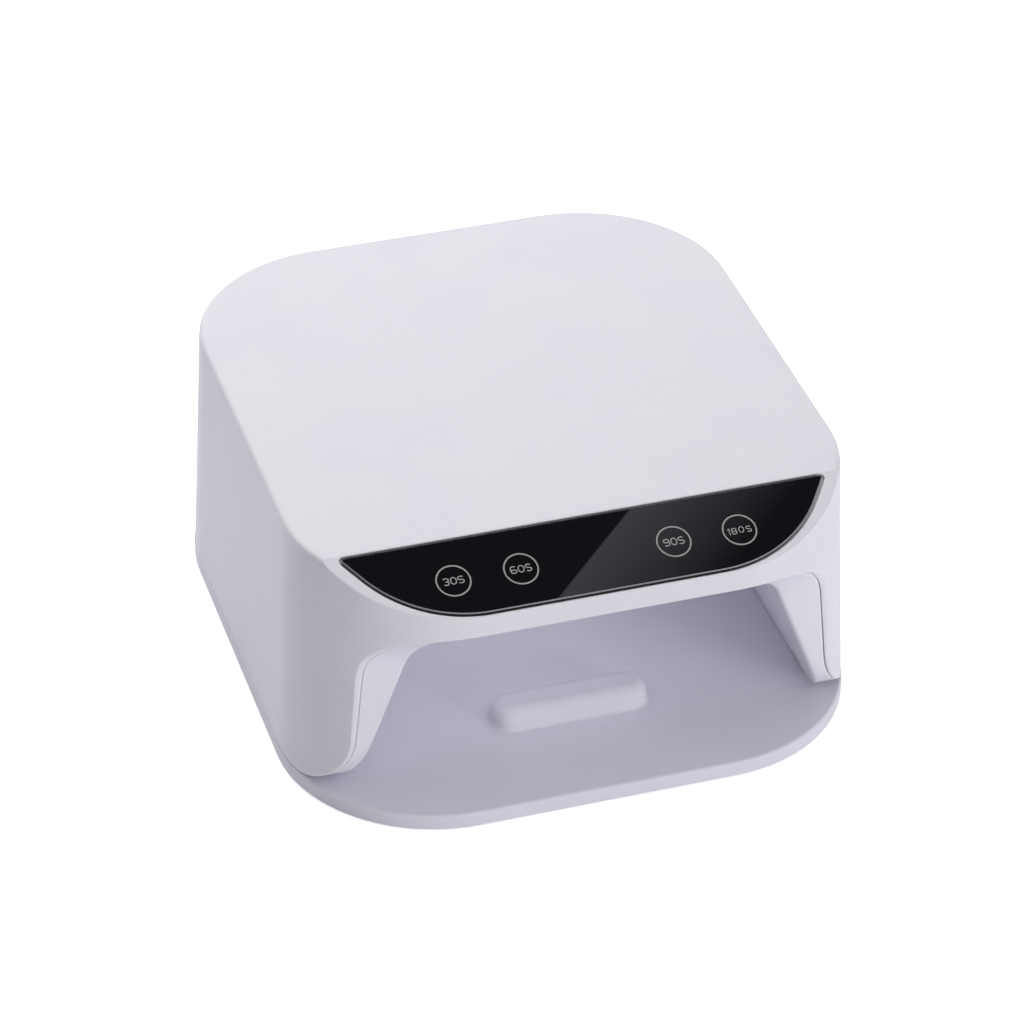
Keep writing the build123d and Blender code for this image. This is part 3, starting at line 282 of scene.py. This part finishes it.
white_shell = moulded("white_shell", (229, 228, 236), (225, 225, 234), 0.46, 0.0007, 0.00003, 0.035)
white_liner = moulded("white_liner", (231, 230, 239), (227, 227, 237), 0.40, 0.0007, 0.00003, 0.030)
white_tray = moulded("white_tray", (230, 229, 240), (226, 226, 238), 0.50, 0.0006, 0.00004, 0.030)
white_cover = moulded("white_cover", (214, 214, 220), (208, 208, 215), 0.58, 0.0009, 0.00006, 0.028)
dress(white_shell, "outer_shell")
dress(white_liner, "cavity_liner")
dress(white_tray, "base_tray")
dress(white_cover, "base_cover")

# %% [markdown]
# ## The black touch lens
# The keys lie under a lens of black-backed acrylic. It is as smooth as glass, so what counts is
# its gloss: a roughness near zero, with hair-fine wipe marks that only show in the reflection.
# The chamfer round it is cut at a slant, so it turns away from the direction that the flat face
# looks in, and by that slope it is found. Along the front, where it looks towards the room, it
# carries a painted highlight in grey, which fades round the ends; along the back it stays black.
# The rings and the figures are printed in grey ink on top, slightly rough and never quite even.

# %% The lens and its print
facet_drop_mm = 13.0
facet_run_mm = 30.17
facet_slope = math.atan2(facet_drop_mm, facet_run_mm)
facet_faces = (0, -math.sin(facet_slope), math.cos(facet_slope))
to_the_front = (0, -1, 0)
lens_black = paint(9, 9, 14)
dust_grey = paint(120, 120, 128)
chamfer_painted_highlight = paint(136, 136, 142)
ink_grey = paint(166, 166, 164)
ink_darker = paint(156, 156, 154)
print("the facet leans by", round(math.degrees(facet_slope), 1), "degrees")


def polished_black():
    finish = Finish("black_lens")
    wipes = finish.streaks((30, 400, 400), 9.0)
    dust = finish.cloud(0.0009).above(0.72, 0.03)
    turned = finish.turned_from(facet_faces)
    slanted = turned.above(0.15, 0.05) * (1 - turned.above(0.65, 0.1))
    chamfer = slanted * (1 - finish.turned_from(to_the_front).above(0.9, 0.3))
    colour = finish.mix(dust * 0.02, lens_black, dust_grey)
    # Painted highlight: the front of the chamfer is coloured grey in place of the light it would
    # reflect.
    colour = finish.mix(chamfer, colour, chamfer_painted_highlight)
    gloss = 0.003 + wipes * 0.004 + chamfer * 0.25
    return finish.surface(colour, gloss, finish.bump(wipes, 0.01, 0.00001), IOR=1.5)


def grey_ink():
    finish = Finish("grey_print")
    speckle = finish.cloud(0.0002)
    colour = finish.mix(speckle.above(0.5, 0.2), ink_grey, ink_darker)
    return finish.surface(colour, 0.45 + speckle * 0.1, finish.bump(speckle, 0.2, 0.00001))


dress(polished_black(), "touch_lens")
dress(grey_ink(), "key_marks")

# %% [markdown]
# ## Rubbers and foam
# The feet are moulded rubber with a dull skin, the touch pads are carbon-filled rubber, and the
# gasket round the lens is black foam tape with open pores. All three share one helper: a dark
# colour, dusty patches, and pores or grain as small bumps.

# %% The rubbers
def rubbery(name, colour, dusty, roughness, pore, depth):
    finish = Finish(name)
    patches = finish.cloud(0.006, 3.0)
    pores = finish.cells(pore)
    worn = finish.edge(0.0004, 1.5)
    dust = (patches.above(0.55, 0.2) * 0.6 + worn * 0.4).limited()
    shade = finish.mix(dust, paint(*colour), paint(*dusty))
    gloss = (roughness + pores * 0.1).limited()
    return finish.surface(shade, gloss, finish.bump(pores, 0.4, depth), IOR=1.45)


dress(rubbery("foot_rubber", (108, 108, 111), (126, 126, 128), 0.75, 0.0006, 0.00005), "rubber_feet")
dress(rubbery("dark_rubber", (88, 88, 90), (104, 104, 106), 0.65, 0.0005, 0.00003), "touch_pads")
dress(rubbery("black_foam", (58, 58, 60), (72, 72, 74), 0.85, 0.0004, 0.0001), "lens_gasket")

# %% [markdown]
# ## Plated metals
# Screws are zinc plated, with a faint yellow-blue tint and fine turning marks round the head. The
# nut and the magnets are nickel plated and brighter. The contacts are brass. One helper makes them
# all: fully metallic, with fine scratches that change the roughness, and bright rubbed edges.

# %% The metals
bright_metal = paint(235, 236, 238)


def plated(name, colour, tint, roughness, scratch):
    finish = Finish(name)
    patches = finish.cloud(0.004, 3.0)
    scratches = finish.streaks((900, 120, 900), 2.0)
    edge_band = finish.edge(0.0003, 2.0)
    shade = finish.mix(patches.above(0.5, 0.25), paint(*colour), paint(*tint))
    shade = finish.mix(edge_band * 0.5, shade, bright_metal)
    gloss = roughness + scratches * scratch - edge_band * 0.08
    return finish.surface(shade, gloss.limited(), finish.bump(scratches, 0.15, 0.00002), Metallic=1.0)


screw_zinc = plated("screw_steel", (196, 197, 201), (190, 189, 184), 0.28, 0.18)
nickel = plated("magnet_nickel", (214, 213, 209), (205, 204, 201), 0.16, 0.14)
nut_nickel = plated("nut_steel", (203, 203, 204), (196, 196, 196), 0.24, 0.16)
brass = plated("contact_brass", (226, 202, 138), (214, 186, 120), 0.22, 0.15)
screwed_down = ("base", "liner", "touch_board", "main_board", "lamp_board", "sensor")
dress(screw_zinc, *[f"{place}_screws" for place in screwed_down])
dress(nickel, "tray_magnets", "housing_magnets")
dress(nut_nickel, "inlet_nut")
dress(brass, "inlet_pin", "inlet_contact")

# %% [markdown]
# ## Circuit boards
# The touch board, the main board and the sensor boards are glass-fibre boards under green lacquer:
# copper tracks show through it as slightly lighter lines, and the glass weave gives a fine grid.
# The lamp boards are aluminium with white lacquer, so that they throw light back at the nails.
# Tracks come from the borders between square cells, which look like routed lines.

# %% The boards
glass_threads = 2600
bare_edge = paint(196, 188, 150)


def circuit_board(name, lacquer, track, roughness, pitch):
    finish = Finish(name)
    sockets = {"Vector": finish.place(), "Scale": 1 / pitch, "Randomness": 0.55}
    routes = finish.node("ShaderNodeTexVoronoi", {"distance": "CHEBYCHEV"}, sockets)
    lines = routes.above(0.42, 0.03) * (1 - routes.above(0.52, 0.03))
    weave = finish.cloud(1 / glass_threads)
    shade = finish.mix(lines, paint(*lacquer), paint(*track))
    cut = finish.edge(0.0003, 1.5)
    shade = finish.mix(cut * 0.6, shade, bare_edge)
    relief = finish.bump(lines * 0.6 + weave * 0.4, 0.3, 0.00004)
    return finish.surface(shade, roughness + weave * 0.12, relief, IOR=1.52)


sides = ("top", "left", "right", "back")
green_board = circuit_board("green_board", (58, 132, 92), (84, 158, 108), 0.30, 0.004)
white_board = circuit_board("white_board", (236, 236, 235), (228, 229, 229), 0.34, 0.009)
dress(green_board, "touch_board", "main_board", "sensor_boards")
dress(white_board, *[f"lamp_board_{side}" for side in sides])

# %% [markdown]
# ## Clear resins
# Each lamp bead is a square package with a lens of pale yellow resin, and over it sits a clear cap
# that shows as a shallow dome in the ceiling and the walls. Clear plastic needs light to pass
# through, so its transmission is high and its roughness low. The resin is tinted by the phosphor
# grains in it. The sensor windows are milky and let only a little through.

# %% The beads, the caps and the windows
def clear_resin(name, colour, second, roughness, passes, grain):
    finish = Finish(name)
    swirl = finish.cloud(grain)
    shade = finish.mix(swirl.above(0.5, 0.2), paint(*colour), paint(*second))
    gloss = roughness + swirl * 0.04
    relief = finish.bump(swirl, 0.05, 0.00001)
    return finish.surface(shade, gloss, relief, IOR=1.49, Transmission_Weight=passes)


beads = [f"lamp_beads_{side}" for side in sides]
caps = [f"bead_caps_{side}" for side in sides]
dress(clear_resin("bead_clear", (237, 230, 190), (228, 216, 164), 0.22, 0.2, 0.0012), *beads)
dress(clear_resin("cap_clear", (240, 241, 246), (234, 235, 243), 0.06, 0.6, 0.003), *caps)
dress(clear_resin("window_pale", (216, 216, 224), (209, 209, 218), 0.12, 0.05, 0.002), "sensor_windows")
dress(clear_resin("sensor_clear", (225, 225, 232), (215, 215, 224), 0.10, 0.6, 0.001), "sensor_sender")
dress(clear_resin("sensor_dark", (64, 58, 70), (56, 50, 62), 0.12, 0.2, 0.001), "sensor_receiver")

# %% [markdown]
# ## Parts on the boards
# Capacitors are aluminium cans in a shrunk sleeve, inductors are dark ferrite, chips are moulded
# epoxy with a dull granular face, and connectors are cream nylon. The display is dark until it is
# lit. They are small, so their grain is small too.

# %% The small parts
def granular(name, colour, second, roughness, grain, depth, **more):
    finish = Finish(name)
    specks = finish.cloud(grain, 3.0)
    patches = finish.cloud(grain * 9)
    worn = finish.edge(0.0003, 1.5)
    lighter = tuple(min(1.0, v * 1.5 + 0.02) for v in paint(*colour)[:3]) + (1.0,)
    shade = finish.mix(patches.above(0.5, 0.25), paint(*colour), paint(*second))
    shade = finish.mix(worn * 0.5, shade, lighter)
    gloss = (roughness + specks * 0.12 - worn * 0.06).limited()
    return finish.surface(shade, gloss, finish.bump(specks, 0.3, depth), **more)


can = granular("can_aluminium", (208, 210, 215), (198, 200, 207), 0.30, 0.0006, 0.00002, Metallic=0.8)
coil = granular("coil_dark", (110, 110, 112), (96, 96, 99), 0.62, 0.0003, 0.00004)
chip = granular("chip_black", (48, 48, 49), (42, 42, 43), 0.55, 0.0002, 0.00002)
nylon = granular("connector_white", (232, 231, 224), (226, 224, 214), 0.42, 0.0005, 0.00002)
inlet_black = granular("inlet_black", (56, 56, 60), (50, 50, 54), 0.48, 0.0005, 0.00003)
display_black = granular("display_black", (50, 50, 54), (44, 44, 48), 0.16, 0.0008, 0.00001)
dress(can, "capacitors")
dress(coil, "inductors")
dress(chip, "driver_chips", "back_header")
dress(nylon, "board_connectors", "panel_sockets")
dress(inlet_black, "inlet_body")
dress(display_black, "digit_display")

# %% [markdown]
# ## Wires
# The wires have a soft insulation that picks up a slight wave where it was pulled, and the flat
# ribbon to the touch board has a ridge for every conductor. The ribs of the ribbon follow its
# width, so they are a wave along X.

# %% The wires
def insulated(name, colour, second, roughness, ribs=0.0):
    finish = Finish(name)
    waves = finish.cloud(0.003)
    shade = finish.mix(waves.above(0.5, 0.2), paint(*colour), paint(*second))
    height = waves
    if ribs:
        turns = finish.along("X", 2 * math.pi / ribs)
        height = finish.node("ShaderNodeMath", {"operation": "SINE"}, {0: turns}) * 0.5 + 0.5
        shade = finish.mix(height.above(0.2, 0.15), paint(*second), shade)
    return finish.surface(shade, roughness + waves * 0.1, finish.bump(height, 0.4, 0.0001), IOR=1.5)


conductor_pitch = 0.00127
wire_white = insulated("wire_white", (229, 229, 229), (220, 220, 221), 0.42)
ribbon_grey = insulated("ribbon_grey", (202, 202, 205), (184, 184, 188), 0.48, conductor_pitch)
dress(insulated("wire_red", (194, 70, 62), (180, 60, 54), 0.42), "inlet_wire")
dress(wire_white, "ceiling_wire", "side_wires", "sensor_wires")
dress(ribbon_grey, "touch_ribbon")

# %% [markdown]
# ## Table and backdrop
# The lamp stands on a plain pale table that runs out to white, as in a product picture. Its paper
# is a cool white, so the light that it throws up makes the shaded walls cool as well. The table
# takes the lamp's shadow and throws light back on its walls, as any pale table does. Where it is
# seen, by the camera, in a gloss or through a clear cap, it also glows, and more so far out where
# no lamp reaches it. So it ends as white without a brighter lamp.

# %% The table
table_radius = 6.0
paper_white = paint(235, 234, 241)
paper_speck = paint(231, 230, 237)
glow_near = (0.72, 0.72, 0.72, 1.0)
glow_grows_at = 2.0
glow_grows_over = 1.0


def studio_piece(name, mesh, material):
    """A piece of the studio, which isn't part of the lamp."""
    piece = bpy.data.objects.new(name, mesh)
    bpy.context.scene.collection.objects.link(piece)
    mesh.materials.append(material)
    return piece


def table_top():
    mesh = bpy.data.meshes.new("table")
    shape = bmesh.new()
    bmesh.ops.create_circle(shape, cap_ends=True, segments=96, radius=table_radius)
    shape.to_mesh(mesh)
    shape.free()
    return mesh


def table_paint():
    finish = Finish("table_white")
    specks = finish.cloud(0.002)
    colour = finish.mix(specks, paper_white, paper_speck)
    away = finish.node("ShaderNodeVectorMath", {"operation": "LENGTH"}, {0: finish.place()}, "Value")
    white = finish.mix(away.above(glow_grows_at, glow_grows_over), glow_near, pure_white)
    seen = {"Color": white, "Strength": finish.background_rays()}
    light = finish.node("ShaderNodeEmission", None, seen)
    paper = finish.node("ShaderNodeBsdfDiffuse", None, {"Color": colour})
    return finish.finished(finish.node("ShaderNodeAddShader", None, {0: paper, 1: light}))


table = studio_piece("table", table_top(), table_paint())
print("table radius", table_radius)

# %% [markdown]
# ## The air round the lamp
# What the camera, the gloss and the clear caps see of the world is plain white, so the background
# is white too. It adds no light of its own, which keeps the shadows where the lamps put them.

# %% The world
air = Finish("studio_air", bpy.data.worlds)
white_air = {"Color": pure_white, "Strength": air.background_rays()}
sky = air.node("ShaderNodeBackground", None, white_air)
bpy.context.scene.world = air.finished(sky, "ShaderNodeOutputWorld")
print("the world lights nothing itself, and looks white")

# %% [markdown]
# ## Soft lamps
# The strongest lamp hangs behind the nail lamp and shines over it: it makes the top the brightest
# face and leaves the tray in front in the housing's own shadow. A weak one beside it lights the left
# wall. Others fill the front from above, from the low right and from the low left. The low right
# one is the stronger of the two, so the front left corner stays darker and shows how round it is. A
# very weak panel under the ceiling of the hand space, where the lamp beads sit, shines straight
# down and keeps the inside from falling into black. Each place is given as a photographer would say
# it: how far round, how high up, and how far away. Every lamp has its width, its height and its
# power in watts, and is left out of what the camera and the glossy pieces see.

# %% The studio lamps
lamp_middle = (0, 0, 0.05)
lamp_colour = (1.0, 0.99, 0.985)


def soft_lamp(name, place, width, height, power, target=lamp_middle):
    data = bpy.data.lights.new(name, "AREA")
    data.shape = "RECTANGLE"
    data.size = width
    data.size_y = height
    data.energy = power
    data.color = lamp_colour
    light = bpy.data.objects.new(name, data)
    light.location = place
    towards = Vector(target) - Vector(place)
    light.rotation_mode = "QUATERNION"
    light.rotation_quaternion = towards.to_track_quat("-Z", "Y")
    bpy.context.scene.collection.objects.link(light)
    light.visible_camera = False
    light.visible_glossy = False
    print(name, "power", power)


def seen_from(turn, rise, away):
    """A place around the lamp: turn from the front towards the right, and rise above the table."""
    turn, rise = math.radians(turn), math.radians(rise)
    return (
        math.sin(turn) * math.cos(rise) * away,
        -math.cos(turn) * math.cos(rise) * away,
        math.sin(rise) * away,
    )


soft_lamp("lamp_behind", seen_from(180, 40, 1.7), 1.2, 0.96, 23.2)
soft_lamp("lamp_behind_left", seen_from(-150, 40, 1.7), 1.1, 0.88, 2.0)
soft_lamp("lamp_overhead", seen_from(0, 88, 1.6), 1.4, 1.12, 7.3)
soft_lamp("lamp_front", seen_from(0, 50, 1.7), 1.1, 0.88, 6.3)
soft_lamp("lamp_low_right", seen_from(32, 7, 1.6), 0.5, 0.4, 8.9)
soft_lamp("lamp_low_left", seen_from(-28, 7, 1.6), 0.5, 0.4, 1.3)
soft_lamp("lamp_inside", (-0.006, -0.01, 0.0705), 0.09, 0.13, 0.0205, (-0.006, -0.01, 0.0))

# %% [markdown]
# ## What the lens reflects
# A polished lens shows the studio in it. Over the nail lamp hangs a dark ceiling with a white card,
# whose sharp edge runs across the lens and fades to the right. The card is seen only in
# reflections, so it adds no light to the white plastic.

# %% The ceiling card
ceiling_height = 0.9
ceiling_reach = 2.5
ceiling_glow = 0.1
card_edge = (Vector((0.2448, 0.0064)), Vector((0.1952, -0.0345)))
card_edge_blur = 0.0004
card_fade = 0.064
card_glow = 0.95
card_colour = (0.88, 0.93, 1.0, 1.0)


def ceiling_sheet():
    corners = [(-1, -1), (1, -1), (1, 1), (-1, 1)]
    mesh = bpy.data.meshes.new("ceiling")
    points = [(x * ceiling_reach, y * ceiling_reach, ceiling_height) for x, y in corners]
    mesh.from_pydata(points, [], [(0, 1, 2, 3)])
    return mesh


def card_paint():
    finish = Finish("ceiling_card")
    line = (card_edge[0] - card_edge[1]).normalized()
    across = Vector((line.y, -line.x))
    past_edge = finish.along("X", across.x) + finish.along("Y", across.y) - card_edge[0].dot(across)
    fade = 1 - (past_edge / card_fade).limited()
    glow = ceiling_glow + past_edge.above(0.0, card_edge_blur) * fade * card_glow
    light = finish.node("ShaderNodeEmission", None, {"Color": card_colour, "Strength": glow})
    return finish.finished(light)


ceiling = studio_piece("ceiling", ceiling_sheet(), card_paint())
ceiling.visible_camera = False
ceiling.visible_diffuse = False
ceiling.visible_shadow = False
ceiling.visible_transmission = False
ceiling.visible_volume_scatter = False
print("ceiling card edge from", tuple(card_edge[0]), "to", tuple(card_edge[1]))

# %% [markdown]
# ## Last look
# Every piece should have a finish of its own, so the pieces left plain are listed.

# %% Check and finish
undressed = sorted(set(parts) - set(dressed))
print("dressed", len(dressed), "pieces, left plain:", undressed)
